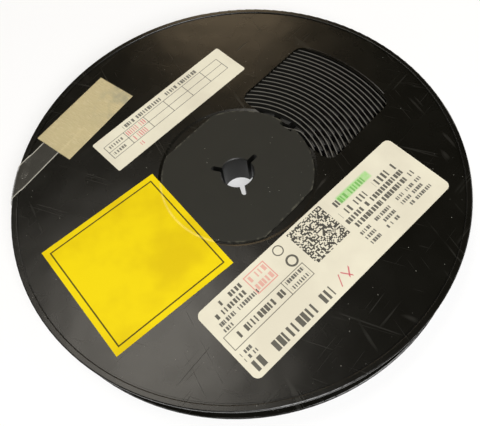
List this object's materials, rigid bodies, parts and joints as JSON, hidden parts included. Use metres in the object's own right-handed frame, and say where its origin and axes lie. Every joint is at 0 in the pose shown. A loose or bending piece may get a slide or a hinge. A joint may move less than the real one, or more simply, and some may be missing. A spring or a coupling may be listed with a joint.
{
  "type": "component tape reel",
  "caption": "Flat two-flange plastic reel with a keyed arbor hole and a window, wound with pocketed carrier tape whose clear end is taped to the front.",
  "frame": {"origin": "on the arbor axis, at the plane that the rear flange's rim bead rests on", "axes": "+Z along the arbor axis towards the labelled front flange; -Y towards the viewer of the front; the window lies between +X and +Y"},
  "size_m": [0.1786, 0.178, 0.0155],
  "materials": {
    "flange_plastic": "smooth black moulded polystyrene with fine scuffs",
    "hub_plastic": "finely textured dark grey moulded polystyrene",
    "carrier_plastic": "thin formed carrier tape, edges pale, pockets dark",
    "clear_film": "clear film with bright edges",
    "masking_paper": "beige creped paper with grey smudges",
    "white_paper": "white label paper with print as plain bars and shapes",
    "yellow_paper": "bright yellow coated label with a thin dark border line"
  },
  "bodies": {
    "root": {"front_flange": "flange_plastic", "rear_flange": "flange_plastic", "hub_core": "hub_plastic", "carrier_tape": "carrier_plastic", "clear_strip": "clear_film", "masking_tape": "masking_paper", "large_label": "white_paper", "yellow_label": "yellow_paper", "small_label": "white_paper"}
  },
  "joints": []
}
